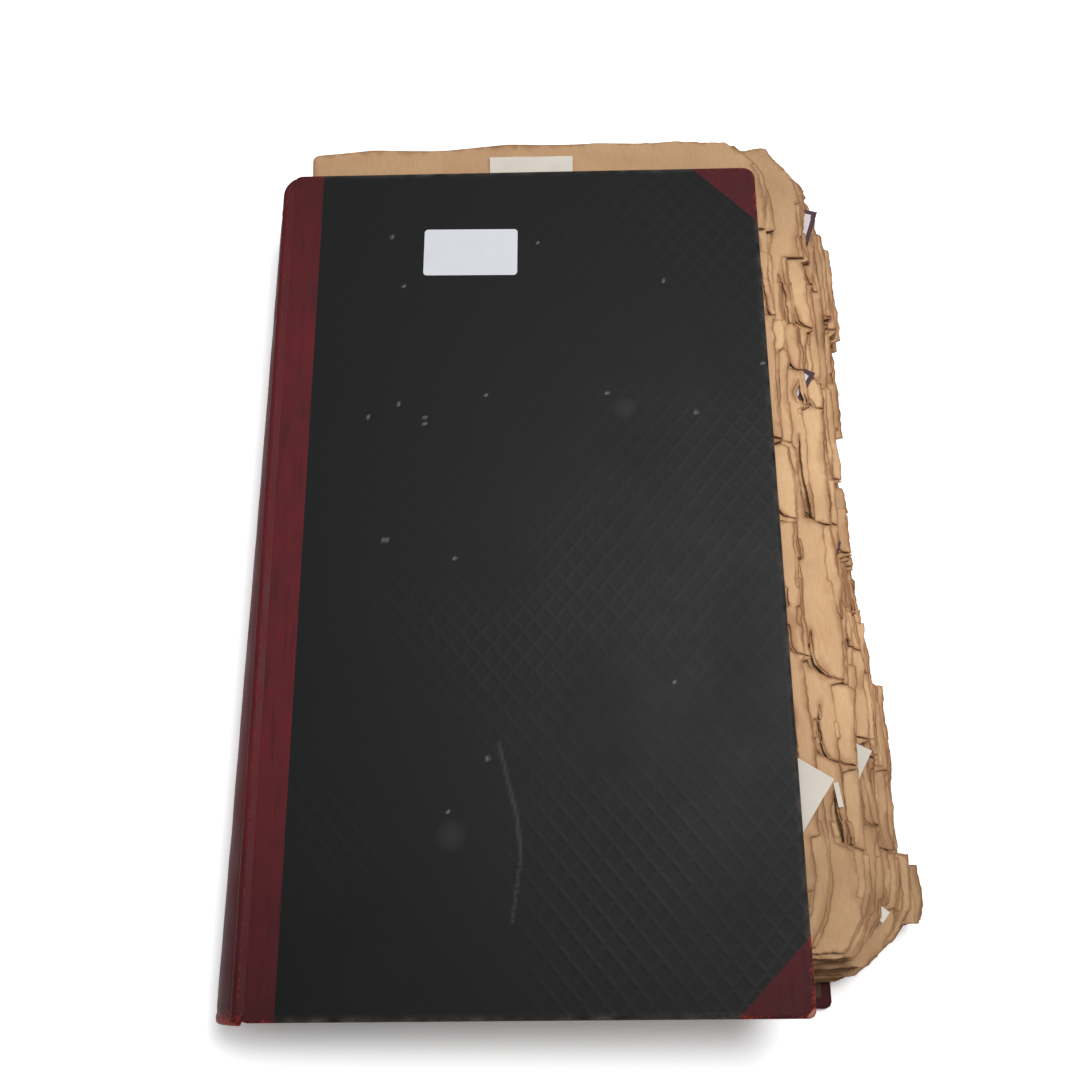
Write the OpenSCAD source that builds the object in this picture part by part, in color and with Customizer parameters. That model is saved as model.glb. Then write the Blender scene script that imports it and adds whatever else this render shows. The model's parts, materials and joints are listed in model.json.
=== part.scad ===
// Half-bound account book kept as a scrapbook, lying closed on its back cover.
// X runs from the spine to the fore edge, Y from the tail to the head, Z up.
// The origin is the middle of the back cover's underside. Lengths are millimetres.

/* [Covers] */
// Width of a cover, from the hinge axis to the fore edge
cover_w = 194; // [185:1:205]
// Height of a cover, tail to head
cover_h = 330; // [310:1:345]
// Thickness of the millboard core of a cover
board_t = 2.4; // [1.8:0.1:3]
// Thickness of the leather and cloth that cover the boards
skin_t = 0.6; // [0.4:0.1:0.8]
// How far the leather and cloth are turned in over the inner face
turn_in = 14; // [10:1:20]
// Width of the leather strip beside the hinge, at the tail
strip_w = 13; // [8:0.5:30]
// How much wider that strip is at the head
strip_more = 1.8; // [0:0.1:4]
// Leg of the leather corner pieces
corner_leg = 26.5; // [18:0.5:40]
// Rise of the front cover towards its fore edge, in degrees
cover_slope = 3.5; // [2:0.5:4]

/* [Spine] */
// How far the front hinge leans out over the back hinge
lean = 18; // [10:1:20]
// Height of the front hinge axis above the back one
spine_rise = 38.4; // [36:0.2:42]
// Thickness of the stiff curved spring board in the spine
spring_t = 1.8; // [1.2:0.1:2.4]
// Radius of the rolled leather on the front hinge axis
roll_r = 1.4; // [1:0.1:1.6]
// How full the spine is at the tail, where 1 is a circle's arc
full_tail = 1.06; // [0.9:0.01:1.06]
// How full the spine is at the head
full_head = 0.6; // [0.55:0.01:1.06]

/* [Leaves] */
// Width of a leaf, fold to fore edge
leaf_w = 191; // [182:1:195]
// Height of a leaf
leaf_h = 325; // [305:1:330]
// How far the lowest section has slid out of the spine at the tail
slide_low = 51; // [30:1:56]
// How far the top section has slid out of the spine
slide_top = 11; // [8:1:14]
// Turn of the lowest leaves against the covers, in degrees
skew_low = 2.7; // [1:0.1:3]
// Deepest tear in a leaf's fore edge
tear = 7; // [3:0.5:9]

/* [Hidden] */
$fn = 96;
roll_gap = 0.3;
edge_x = roll_r + roll_gap;
outer_z = 0.8;
inner_z = outer_z - board_t - 2 * skin_t;
pastedown_t = 0.3;
flyleaf_t = 0.3;
paper_t = 0.25;
paper_room = 0.3;

// Hinge axes: the back one at the back cover's spine edge, the front one above it
back_x = -cover_w / 2;
back_z = outer_z;
front_x = back_x - lean;
front_z = back_z + spine_rise;

// Corner radii of a cover: tail spine, tail fore, head fore, head spine
cover_radii = [1.5, 2.5, 5, 4];

// The spine's curve: one circle, its centre a little inside the line between the axes
chord = norm([lean, spine_rise]);
centre_in = 3;
spine_c = [front_x + lean / 2 + centre_in * spine_rise / chord,
           back_z + spine_rise / 2 + centre_in * lean / chord];
axis_r = norm([chord / 2, centre_in]);
spine_r = axis_r - 0.35;
leather_t = 0.8;
lining_t = 0.3;
tape_t = 0.4;
spring_r = spine_r - leather_t;
lining_r = spring_r - spring_t;
inner_r = lining_r - lining_t;
spine_y0 = 0.5;
spine_y1 = cover_h - 12;

// Sewing tapes: their places up the spine, width, and length on the boards
tape_w = 16;
tape_slip = 30;
tape_y = [45, 125, 205, 285];

// Leaves: three bundles to a section, eleven sections, the top three turn
bundles = 3;
section_count = 11;
leaf_count = bundles * section_count;
papers_after = [23, 26, 28, 29];
block_z0 = back_z - inner_z + pastedown_t + flyleaf_t;
block_z1 = front_z + inner_z - pastedown_t - flyleaf_t - 0.45;
leaf_t = (block_z1 - block_z0 - paper_room * len(papers_after)) / leaf_count;

SECTIONS = [for (i = [1 : section_count]) str("section_", i < 10 ? "0" : "", i)];

// Share of the way up the block, 0 at the lowest bundle and 1 at the top one
function up(k) = k / (leaf_count - 1);
function papers_below(k) = len([for (p = papers_after) if (p < k) p]);
function leaf_z(k) = block_z0 + k * leaf_t + papers_below(k) * paper_room;
function leaf_tilt(k) = cover_slope * (k + 0.5) / (leaf_count + 1);
// Each section has slid out as a packet, the lower ones further, and the bundles in it a little
// differently. The lower leaves have also turned more.
slips = rands(-1, 1, leaf_count, 41);
slide_share = [1, 0.97, 1, 0.94, 0.93, 0.88, 0.8, 0.7, 0.58, 0.41, 0];
function section_of(k) = floor(k / bundles);
function out_of_packet(k) =
    section_of(k) < section_count - 1 ? 1.6 * (1 - k % bundles) + 0.9 * slips[k]
                                      : 1.6 * (2 - k % bundles);
function slide(k) =
    slide_top + (slide_low - slide_top) * slide_share[section_of(k)] + out_of_packet(k);
function skew(k) = skew_low * (1 - up(k)) + 0.3 * up(k);
function tail_y(k) = 2 + 17.5 * up(k) + 1.5 * slips[(k + 7) % leaf_count];

// Torn fore edge. A section tears at the same heights, each bundle to its own depth. The lower
// sections have lost the same pieces, and a few of them stick out near the tail. In some flaps
// a split has run in from the edge and then along it, through the whole section, and gapes.
low_sections = 8;
low_cuts = [0, 18, 38, 68, 104, 128, 150, 172, 206, 250, 290, 312, 325];
low_lost = [1.5, -5, 2.8, 1.5, 6.3, 7.8, 6, 8, 4.6, -0.5, 5, 0.5];
flaps = len(low_lost);
nicks = 4;
function sum_to(v, n) = n < 1 ? 0 : v[n - 1] + sum_to(v, n - 1);
function cuts(s) =
    let (part = rands(0.3, 1.7, flaps, 100 + s), jog = rands(-1.5, 1.5, flaps, 150 + s))
    [for (j = [0 : flaps])
        s >= low_sections ? leaf_h * sum_to(part, j) / sum_to(part, flaps)
                          : leaf_h / 325 * low_cuts[j] + (j > 0 && j < flaps ? jog[j] : 0)];
function lost(s, j) = s >= low_sections || (low_lost[j] < -1 && (s < 1 || s > 3)) ? 0 : low_lost[j];
function broken(s, reach) = s < reach ? pow(1 - s / reach, 2) : 0;
function split(x, y, deep, run, gape) =
    let (climb = min(0.3 * run, 0.5 * deep))
    [[x, y], [x - deep / 2, y + 0.3 * climb], [x - deep - gape / 2, y + climb],
     [x - deep - gape, y + 0.5 * run], [x - deep - 0.4, y + run], [x - deep, y + 0.55 * run],
     [x - deep + gape / 2, y + climb + 1], [x - deep / 2, y + 0.3 * climb + 0.5], [x, y + 0.5]];
function fore_edge(k) =
    let (s = section_of(k), at_y = cuts(s), upper = s >= 6,
         deep = rands(5, s == 9 ? 13 : 10, flaps, 200 + s),
         gape = rands(0.8, 3.6, flaps, 250 + s),
         depth = rands(0, 1, flaps, 300 + k), lean_in = rands(-1, 1, flaps, 350 + k),
         rag = rands(-0.4, 0.4, flaps * nicks, 400 + k),
         tail_cut = 9 + 23 * (1 - up(k)) + rands(-3, 3, 1, 500 + k)[0],
         head_cut = rands(13, 20, 1, 700 + k)[0])
    [for (j = [0 : flaps - 1])
        let (y0 = at_y[j], h = at_y[j + 1] - y0,
             x = leaf_w - lost(s, j) * (0.7 + 0.5 * depth[j])
                 - tear * pow(depth[j], 2) * (s < low_sections ? 0.6 : 1),
             inset = max(2.5, x - leaf_w + deep[j] + out_of_packet(k)),
             splits = h > 14 && y0 > 30 && y0 + h < leaf_h - 22 && gape[j] > (upper ? 1.1 : 3))
        each [for (i = [0 : nicks - 1])
            let (t = i / (nicks - 1), y = y0 + (0.02 + 0.96 * t) * h,
                 at = [x + lean_in[j] * (t - 0.5) * 2 + rag[j * nicks + i]
                       - tail_cut * broken(y, 24) - head_cut * broken(leaf_h - y, 26), y])
            each splits && i == 0 ? concat([at], split(at[0], y + 0.4, inset, 0.72 * h, gape[j]))
                                  : [at]]];
// The head edge falls a little towards the spine
function head_drop(x) = 2.6 * pow(max(0, 1 - x / 34), 1.3) + 1.6 * max(0, 1 - x / 85);
function head_edge(k) =
    let (rag = rands(-1, 1, 6, 900 + k))
    [for (i = [0 : 5])
        let (x = leaf_w * (0.88 - 0.15 * i))
        [x, leaf_h + 0.7 * rag[i] + i * 0.15 - 0.6 - head_drop(x)]];
function tail_edge(k) =
    let (rag = rands(-1, 1, 4, 1100 + k))
    [for (i = [0 : 3]) [leaf_w * (0.2 + 0.18 * i), 0.8 * rag[i]]];
function leaf_outline(k) = concat(
    tail_edge(k), fore_edge(k), head_edge(k),
    [for (a = [90 : 30 : 180]) [3 + 3 * cos(a), leaf_h - 6.8 + 3 * sin(a)]], [[0, 3], [2, 0]]);

// Places a cover drawn with its hinge axis on Y, its tail at y = 0 and its outer face up
module as_front() {
    translate([front_x, -cover_h / 2, front_z]) rotate([0, -cover_slope, 0]) children();
}

module as_back() {
    translate([back_x, -cover_h / 2, back_z]) mirror([0, 0, 1]) children();
}

// What a square corner loses to be rounded
module corner_loss(r) {
    difference() {
        translate([-1, -1]) square(r + 1);
        translate([r, r]) circle(r);
    }
}

module cover_outline(inset = 0, left = edge_x) {
    x1 = cover_w - inset;
    y0 = inset;
    y1 = cover_h - inset;
    r = [for (v = cover_radii) max(v - inset, 1)];
    difference() {
        translate([left, y0]) square([x1 - left, y1 - y0]);
        translate([left, y0]) corner_loss(r[0]);
        translate([x1, y0]) mirror([1, 0]) corner_loss(r[1]);
        translate([x1, y1]) rotate(180) corner_loss(r[2]);
        translate([left, y1]) mirror([0, 1]) corner_loss(r[3]);
    }
}

module board() {
    translate([0, 0, inner_z + skin_t])
        linear_extrude(board_t) cover_outline(skin_t);
}

// Leather and cloth as one skin round the board, open over the middle of the inner face
module skin() {
    difference() {
        translate([0, 0, inner_z])
            linear_extrude(outer_z - inner_z) cover_outline();
        board();
        translate([-1, turn_in, inner_z - 1])
            cube([cover_w + 1 - turn_in, cover_h - 2 * turn_in, skin_t + 1]);
    }
}

module strip_region() {
    translate([strip_w, 0]) rotate(-atan(strip_more / cover_h))
        translate([-40, -10]) square([40, cover_h + 20]);
}

module corner_region(head) {
    translate([cover_w, head ? cover_h : 0]) mirror([0, head ? 1 : 0])
        polygon([[2, -2], [-corner_leg - 2, -2], [2, corner_leg + 2]]);
}

module skin_in() {
    intersection() {
        skin();
        translate([0, 0, inner_z - 1]) linear_extrude(board_t + 4) children();
    }
}

module side_cloth() {
    difference() {
        skin();
        translate([0, 0, inner_z - 1]) linear_extrude(board_t + 4) {
            strip_region();
            corner_region(true);
            corner_region(false);
        }
    }
}

// Ends of the sewing tapes, glued to the inner face of a board
module tape_slips() {
    for (y = tape_y)
        translate([edge_x + 1, y - tape_w / 2, inner_z + skin_t - tape_t])
            cube([tape_slip, tape_w, tape_t]);
}

// Paper glued over the turn-ins, with the bare part of the board filled up behind it
module pastedown() {
    difference() {
        union() {
            translate([0, 0, inner_z - pastedown_t])
                linear_extrude(pastedown_t) cover_outline(5, edge_x + 0.5);
            translate([edge_x + 0.5, turn_in, inner_z])
                cube([cover_w - turn_in - edge_x - 0.5, cover_h - 2 * turn_in, skin_t]);
        }
        tape_slips();
    }
}

module label() {
    label_w = 38.1;
    label_h = 21.2;
    translate([57.1, 281.6, outer_z]) rotate(-0.8) linear_extrude(0.15)
        difference() {
            square([label_w, label_h]);
            for (x = [0, 1], y = [0, 1])
                translate([x * label_w, y * label_h]) mirror([x, 0]) mirror([0, y])
                    corner_loss(1.5);
        }
}

// Places what is drawn on the line between the hinges, seen from the tail: x along the line
// towards the front hinge, y out of the spine and z down the book
module on_chord(y) {
    translate([(front_x + back_x) / 2, y - cover_h / 2, (front_z + back_z) / 2])
        rotate([90, 0, 0]) rotate(atan2(spine_rise, -lean)) children();
}

// How much a circle is stretched out of the spine, for the surface that lies t inside the leather
function fullness(full, t) =
    (full * (spine_r - centre_in) - t) / (spine_r - t - centre_in);

// What lies inside that surface. The spine is fuller at the tail than at the head.
module spine_form(t) {
    head = fullness(full_head, t);
    on_chord(spine_y1)
        linear_extrude(spine_y1 - spine_y0, scale = [1, fullness(full_tail, t) / head], slices = 1)
            scale([1, head]) intersection() {
                translate([0, -centre_in]) circle(spine_r - t);
                translate([-50, 0]) square([100, 50]);
            }
}

// The part of the spine between two such surfaces, from hinge to hinge
module spine_band(t0, t1) {
    difference() {
        spine_form(t0);
        spine_form(t1);
        along(-1, cover_h + 1) {
            translate([front_x, front_z]) circle(roll_r + 0.02);
            translate([back_x, back_z]) circle(outer_z + 0.02);
        }
    }
}

// Draws children, outlines in X and Z, from one height up the book to another
module along(y0, y1) {
    translate([0, y1 - cover_h / 2, 0]) rotate([90, 0, 0]) linear_extrude(y1 - y0) children();
}

// Leather turned over a cord at an end of the spine: half round outside, flat on the spine
module end_cap(full) {
    cap_r = (spine_r - inner_r) / 2;
    side = asin(centre_in / axis_r);
    scale([1, full, 1]) translate([0, -centre_in, 0])
        rotate(side + 6) rotate_extrude(angle = 170 - 2 * side)
            translate([inner_r + cap_r, 0]) intersection() {
                circle(cap_r - 0.02, $fn = 24);
                translate([-cap_r, 0]) square(2 * cap_r);
            }
}

module spine_leather() color("#5c2226") spine_band(0, leather_t);

module spring_back() color("#8a7a62") spine_band(leather_t, leather_t + spring_t);

module spine_lining() {
    color("#b9a37c") spine_band(leather_t + spring_t, spine_r - inner_r);
}

module spine_tapes() {
    color("#d8cdb4") intersection() {
        spine_band(spine_r - inner_r, spine_r - inner_r + tape_t);
        for (y = tape_y) translate([-200, y - tape_w / 2 - cover_h / 2, -50]) cube([200, tape_w, 150]);
    }
}

module head_cap() color("#5c2226") on_chord(spine_y1) mirror([0, 0, 1]) end_cap(full_head);

module tail_cap() color("#7a2a20") on_chord(spine_y0) end_cap(full_tail);

// Leather rolled up on the hinge axis, which the front cover turns about
module front_joint_leather() {
    color("#6a2a2e") along(3, cover_h - 5) translate([front_x, front_z]) circle(roll_r);
}

module back_joint_leather() {
    color("#5c2226") along(3, cover_h - 3) {
        translate([back_x, back_z]) circle(outer_z);
        translate([back_x, 0]) square([edge_x, 2 * outer_z]);
    }
}

module flyleaf() {
    translate([0, 0, inner_z - pastedown_t - flyleaf_t])
        linear_extrude(flyleaf_t) cover_outline(4, edge_x + 2.5);
}

// One bundle of leaves lying at its own height, tilt, slide and turn
module leaf_bundle(k) {
    translate([front_x, -cover_h / 2, leaf_z(k)]) rotate([0, -leaf_tilt(k), 0])
        translate([slide(k), tail_y(k), 0]) rotate(skew(k))
            linear_extrude(leaf_t) polygon(leaf_outline(k));
}

module leaf_section(n) {
    shade = ["#c2a279", "#b8966b", "#ad8a5e"];
    for (i = [0 : bundles - 1])
        color(shade[(n + i) % 3]) leaf_bundle(n * bundles + i);
}

// A paper on top of bundle k: one corner at p, the first edge turned by a
module loose_paper(k, p, a, size) {
    translate([front_x, -cover_h / 2, leaf_z(k)]) rotate([0, -leaf_tilt(k), 0])
        translate([p[0], p[1], leaf_t]) rotate(a) linear_extrude(paper_t) square(size);
}

color("#8a7a62") as_front() board();  // front_board
color("#2b2d2c") as_front() side_cloth();  // front_side_cloth
color("#5c2226") as_front() skin_in() strip_region();  // front_leather_strip
color("#5c2226") as_front() skin_in() corner_region(true);  // front_head_corner
color("#5c2226") as_front() skin_in() corner_region(false);  // front_tail_corner
color("#c9b088") as_front() pastedown();  // front_pastedown
color("#d8cdb4") as_front() tape_slips();  // front_tape_slips
color("#d8d8de") as_front() label();  // lot_label
color("#8a7a62") as_back() board();  // back_board
color("#2b2d2c") as_back() side_cloth();  // back_side_cloth
color("#5c2226") as_back() skin_in() strip_region();  // back_leather_strip
color("#5c2226") as_back() skin_in() corner_region(true);  // back_head_corner
color("#5c2226") as_back() skin_in() corner_region(false);  // back_tail_corner
color("#c9b088") as_back() pastedown();  // back_pastedown
color("#d8cdb4") as_back() tape_slips();  // back_tape_slips
spine_leather();
spring_back();
spine_lining();
spine_tapes();
head_cap();
tail_cap();
front_joint_leather();
back_joint_leather();
color("#c9b088") as_front() flyleaf();  // front_flyleaf
color("#c9b088") as_back() flyleaf();  // back_flyleaf
color("#e2dccb") loose_paper(32, [84, 290], 0, [35, 49.5]);  // head_clipping
color("#e4e0d8") loose_paper(32, [207, 78.8], 146.7, [62, 84]);  // loose_sheet
color("#3a1828") loose_paper(26, [222.2, 316], 162, [60, 42]);  // purple_card_head
color("#5a3a48") loose_paper(28, [214.8, 240], 150, [50, 34]);  // purple_card_middle
color("#5a3a48") loose_paper(26, [220, 170], 160, [58, 40]);  // purple_card_low
color("#e4e0d8") {  // white_slips
    loose_paper(29, [211, 69.5], 98, [9, 1.8]);
    loose_paper(26, [224, 90], 152, [48, 32]);
    loose_paper(23, [226.6, 33.5], 140, [5, 4.5]);
}
for (i = [0 : section_count - 1])
    leaf_section(i);
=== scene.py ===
"""A half-bound account book kept as a scrapbook, lying closed on its back cover.

X runs from the spine to the fore edge, Y from the tail to the head, Z up. Sizes are written in
millimetres and turned into metres where a mesh is made.
"""

import bisect
import json
import math
import random

import bmesh
import bpy
import numpy as np
from mathutils import Matrix, Vector, kdtree, noise
from mathutils.geometry import delaunay_2d_cdt


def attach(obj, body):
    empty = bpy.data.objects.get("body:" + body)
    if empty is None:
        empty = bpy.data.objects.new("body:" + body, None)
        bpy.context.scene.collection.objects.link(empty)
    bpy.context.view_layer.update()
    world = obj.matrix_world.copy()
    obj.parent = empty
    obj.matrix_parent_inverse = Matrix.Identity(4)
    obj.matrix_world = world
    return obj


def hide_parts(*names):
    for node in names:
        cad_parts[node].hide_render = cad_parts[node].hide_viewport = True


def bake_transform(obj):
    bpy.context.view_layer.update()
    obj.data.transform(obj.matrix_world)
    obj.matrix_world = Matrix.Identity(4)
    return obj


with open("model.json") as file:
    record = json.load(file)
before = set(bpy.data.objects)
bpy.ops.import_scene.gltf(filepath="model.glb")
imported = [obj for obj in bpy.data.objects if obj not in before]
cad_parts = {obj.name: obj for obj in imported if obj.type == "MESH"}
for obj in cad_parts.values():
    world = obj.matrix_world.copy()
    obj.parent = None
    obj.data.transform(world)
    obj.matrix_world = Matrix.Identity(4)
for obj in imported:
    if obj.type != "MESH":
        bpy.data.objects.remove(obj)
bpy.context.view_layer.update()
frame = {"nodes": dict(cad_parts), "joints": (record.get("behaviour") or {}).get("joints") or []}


# Camera, floor and light
# The book is set out from its front hinge line. The front cover's own frame has that line as its
# Y axis, the tail edge at y = 0 and the outer face at z = outer_z. The back cover's is mirrored.
# The camera stands over the tail end and looks down on the front cover.
MM = 0.001
cover_w, cover_h = 194, 330
cover_slope = math.radians(3.5)
outer_z, inner_z = 0.8, -2.8
hinge = next(j for j in frame["joints"] if j["name"] == "front_cover_hinge")
hinge_x, _, hinge_z = (v / MM for v in hinge["pos_m"])
back_x = -cover_w / 2
front_place = (Matrix.Translation((hinge_x, -cover_h / 2, hinge_z))
               @ Matrix.Rotation(-cover_slope, 4, "Y"))
back_place = (Matrix.Translation((back_x, -cover_h / 2, outer_z))
              @ Matrix.Diagonal((1, 1, -1, 1)))

# Where the camera stands in the front cover's frame, and its turn in degrees
camera_at, camera_turn = Vector((110.8, 30, 429.9)), (17.88, -2.35, -0.52)
camera_data = bpy.data.cameras.new("camera")
camera_data.lens = 40
camera_data.clip_start = 0.01
bpy.context.scene.view_settings.view_transform = "Standard"
camera = bpy.data.objects.new("camera", camera_data)
camera.location = (front_place @ camera_at) * MM
camera.rotation_euler = [math.radians(a) for a in camera_turn]
bpy.context.scene.collection.objects.link(camera)
bpy.context.scene.camera = camera


def linear(hex_colour):
    """An sRGB hex colour as the four linear numbers that a socket takes."""
    parts = [int(hex_colour[i:i + 2], 16) / 255 for i in (1, 3, 5)]
    return [c / 12.92 if c <= 0.04045 else ((c + 0.055) / 1.055) ** 2.4 for c in parts] + [1]


def join(owner, node, inputs):
    """Sets a node's inputs. Each value is a number, a colour or another node's socket."""
    for key, value in inputs.items():
        if isinstance(value, bpy.types.NodeSocket):
            owner.node_tree.links.new(value, node.inputs[key])
        else:
            node.inputs[key].default_value = value


def add(owner, kind, inputs=None, **settings):
    """Adds a shader node, with its settings and inputs, to a material or world.

    A MapRange reads input 0 over the range from 1 to 2, and gives it over the range from 3 to 4.
    A colour Mix has its share at input 0 and its colours at 6 and 7, and its result at output 2.
    """
    made = owner.node_tree.nodes.new("ShaderNode" + kind)
    for key, value in settings.items():
        setattr(made, key, value)
    join(owner, made, inputs or {})
    return made


# A matt white sweep. It lights the book as white paper would. The camera and reflections see it
# brighter than that, so that it shows white all round the shadow.
floor_half, floor_z = 3, -0.0002
floor_shown, floor_glow = 1.32, 0.03
sweep = bpy.data.materials.new("matt_white_sweep")
sweep.use_nodes = True
sweep.node_tree.nodes.clear()
path = add(sweep, "LightPath")
seen = add(sweep, "Math", {0: path.outputs["Is Camera Ray"], 1: path.outputs["Is Glossy Ray"]},
           operation="MAXIMUM")
seen = add(sweep, "Math", {0: seen.outputs[0], 1: path.outputs["Is Transmission Ray"]},
           operation="MAXIMUM")
matt = add(sweep, "BsdfDiffuse", {"Color": linear("#e6e6e6")})
bright = add(sweep, "BsdfDiffuse", {"Color": (floor_shown, floor_shown, floor_shown, 1)})
glow = add(sweep, "Emission", {"Color": linear("#ffffff"), "Strength": floor_glow})
bright = add(sweep, "AddShader", {0: bright.outputs[0], 1: glow.outputs[0]})
mixed = add(sweep, "MixShader", {0: seen.outputs[0], 1: matt.outputs[0], 2: bright.outputs[0]})
add(sweep, "OutputMaterial", {"Surface": mixed.outputs[0]})
floor_mesh = bpy.data.meshes.new("floor")
floor_mesh.from_pydata([(x * floor_half, y * floor_half, floor_z)
                        for x, y in ((-1, -1), (1, -1), (1, 1), (-1, 1))], [], [(0, 1, 2, 3)])
floor_mesh.materials.append(sweep)
floor = bpy.data.objects.new("floor", floor_mesh)
bpy.context.scene.collection.objects.link(floor)

# The room lights the book evenly and weakly. Past the sweep the camera sees plain white.
room_light = 0.28
world = bpy.data.worlds.new("studio")
world.use_nodes = True
path = add(world, "LightPath")
strength = add(world, "MapRange", {0: path.outputs["Is Camera Ray"], 3: room_light, 4: 1})
join(world, world.node_tree.nodes["Background"],
     {"Color": linear("#ffffff"), "Strength": strength.outputs[0]})
bpy.context.scene.world = world

# A soft box hangs over the head, to the right. Weaker ones stand behind the book and at its left.
# Each has its place in metres, its size and its watts.
for lamp_name, place, size, watts in (("soft_box", (0.24, 0.2, 1.3), 0.5, 12.5),
                                      ("rear", (-0.2, 0.9, 1.3), 1, 4),
                                      ("fill", (-1.1, 0.2, 0.9), 0.9, 0.7)):
    lamp_data = bpy.data.lights.new(lamp_name, "AREA")
    lamp_data.size = size
    lamp_data.energy = watts
    lamp = bpy.data.objects.new(lamp_name, lamp_data)
    lamp.location = place
    lamp.rotation_euler = Vector(place).to_track_quat("Z", "Y").to_euler()
    bpy.context.scene.collection.objects.link(lamp)


# Leaves
# Brittle brown wrapping-paper leaves. They are sewn in sections, but have come loose and slid out
# of the spine. Their fore edges are torn into flaps and strips, and their corners have broken off.
sheets_per_bundle, sheet_t, bundle_t = 4, 0.15, 0.889
section_count = 11
# A loose paper's thickness, and how far its middle lies below the top of its solid
paper_t, paper_sink = 0.16, 0.1
# How far a section or a loose paper may lift where nothing lies on it, and how wide a curl is
most_lift, curl_width = 1.6, 4
section_bodies = {"section_11": "section_11_body", "section_10": "section_10_body",
                  "section_09": "section_09_body"}
# What lies loose between the leaves: its slot and the body that it rides on
loose_papers = {"head_clipping": ("white_paper", "section_11_body"),
                "loose_sheet": ("white_paper", "section_11_body"),
                "purple_card_head": ("purple_card", "back_cover_and_block"),
                "purple_card_middle": ("purple_card", "back_cover_and_block"),
                "purple_card_low": ("purple_card", "back_cover_and_block"),
                "white_slips": ("white_paper", "back_cover_and_block")}


def upper_faces(node):
    """Outlines of a node's upper faces, lowest first, each in its own plane.

    A point (x, y) of an outline lies at across * x + (0, y, 0) + normal * height. The level is
    the height of that plane above the table near the fore edge.
    """
    shape = bmesh.new()
    shape.from_mesh(frame["nodes"][node].data)
    bmesh.ops.remove_doubles(shape, verts=shape.verts, dist=1e-6)
    shape.faces.index_update()
    waiting = {f for f in shape.faces if f.normal.z > 0.7}
    found = []
    while waiting:
        island, queue = set(), [waiting.pop()]
        while queue:
            face = queue.pop()
            island.add(face)
            near = {f for e in face.edges for f in e.link_faces} & waiting
            waiting -= near
            queue.extend(near)
        follow = {loop.vert: loop.link_loop_next.vert for face in island for loop in face.loops
                  if sum(f in island for f in loop.edge.link_faces) == 1}
        # Added up in a fixed order, because a set's order changes from run to run
        facing = [f.normal * f.calc_area() for f in sorted(island, key=lambda f: f.index)]
        normal = sum(facing, Vector()).normalized()
        across = Vector((normal.z, 0, -normal.x)).normalized()
        first = min(follow, key=lambda v: (round(v.co.x, 6), round(v.co.y, 6)))
        points, vert = [], first
        while True:
            points.append((across.dot(vert.co) / MM, vert.co.y / MM))
            vert = follow[vert]
            if vert == first:
                break
        height = normal.dot(first.co) / MM
        found.append({"node": node, "points": points, "across": across, "normal": normal,
                      "height": height, "level": (height + across.z * (cover_w / 2)) / normal.z})
    shape.free()
    return sorted(found, key=lambda f: f["level"])


# A leaf's torn fore edge: how wide the torn zone is, how many breaks it has between the block's
# two ends, how far the furthest broken length lies back, and the steps of a torn and a whole edge
torn_zone, breaks, furthest_back = 32, 9, 3.4
block_tail, block_head = -165, 180
torn_step, whole_step = 0.8, 4
# Without a seed, vector noise starts from the clock and no two runs tear alike
noise.seed_set(1)


def torn(points, torn_x, bundle_seed, draw):
    """The outline, ragged past torn_x, where some lengths have also broken further back."""
    cuts = sorted(draw.uniform(block_tail, block_head) for _ in range(breaks))
    backs = [furthest_back * draw.random() ** 3 for _ in range(breaks + 1)]
    # Each wave has a seed, a length and a size. Only the finest differs between a bundle's sheets.
    waves = ((bundle_seed, 12, 0.8), (bundle_seed, 3.5, 0.4), (draw.uniform(0, 99), 1.6, 0.3))
    ragged = []
    for (ax, ay), (bx, by) in zip(points, points[1:] + points[:1]):
        is_torn = max(ax, bx) > torn_x
        step = torn_step if is_torn else whole_step
        steps = max(1, round(math.hypot(bx - ax, by - ay) / step))
        for i in range(steps):
            x, y = ax + (bx - ax) * i / steps, ay + (by - ay) * i / steps
            shift = Vector()
            for seed, wave, size in waves:
                shift += noise.noise_vector(Vector((x / wave, y / wave, seed))) * size
            if is_torn:
                shift.x -= backs[bisect.bisect(cuts, y)]
            else:
                shift *= 0.25
            ragged.append((x + shift.x, y + shift.y))
    return ragged


# Plan maps of the book in squares of one millimetre, from the map's corner at the spine and tail
map_x, map_y, map_w, map_h = -125, -185, 275, 370


def footprint(outline):
    """The map's squares whose middles lie inside an outline."""
    inside = np.zeros((map_h, map_w), bool)
    x, y = np.array(outline).T
    next_x, next_y = np.roll(x, -1), np.roll(y, -1)
    for row in range(map_h):
        at_y = map_y + row + 0.5
        over = (y <= at_y) != (next_y <= at_y)
        share = (at_y - y[over]) / (next_y - y)[over]
        ends = np.sort(x[over] + share * (next_x - x)[over]) - map_x
        for start, stop in zip(ends[::2], ends[1::2]):
            inside[row, max(0, round(start)):max(0, round(stop))] = True
    return inside


def distance_from(squares, reach):
    """How far each square of the map is from the given ones, up to reach."""
    away = np.where(squares, 0.0, reach)
    for _ in range(math.ceil(reach)):
        wide = np.pad(away, 1, constant_values=reach)
        for dy in (0, 1, 2):
            for dx in (0, 1, 2):
                step = math.hypot(dx - 1, dy - 1)
                away = np.minimum(away, wide[dy:dy + map_h, dx:dx + map_w] + step)
    return away


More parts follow.
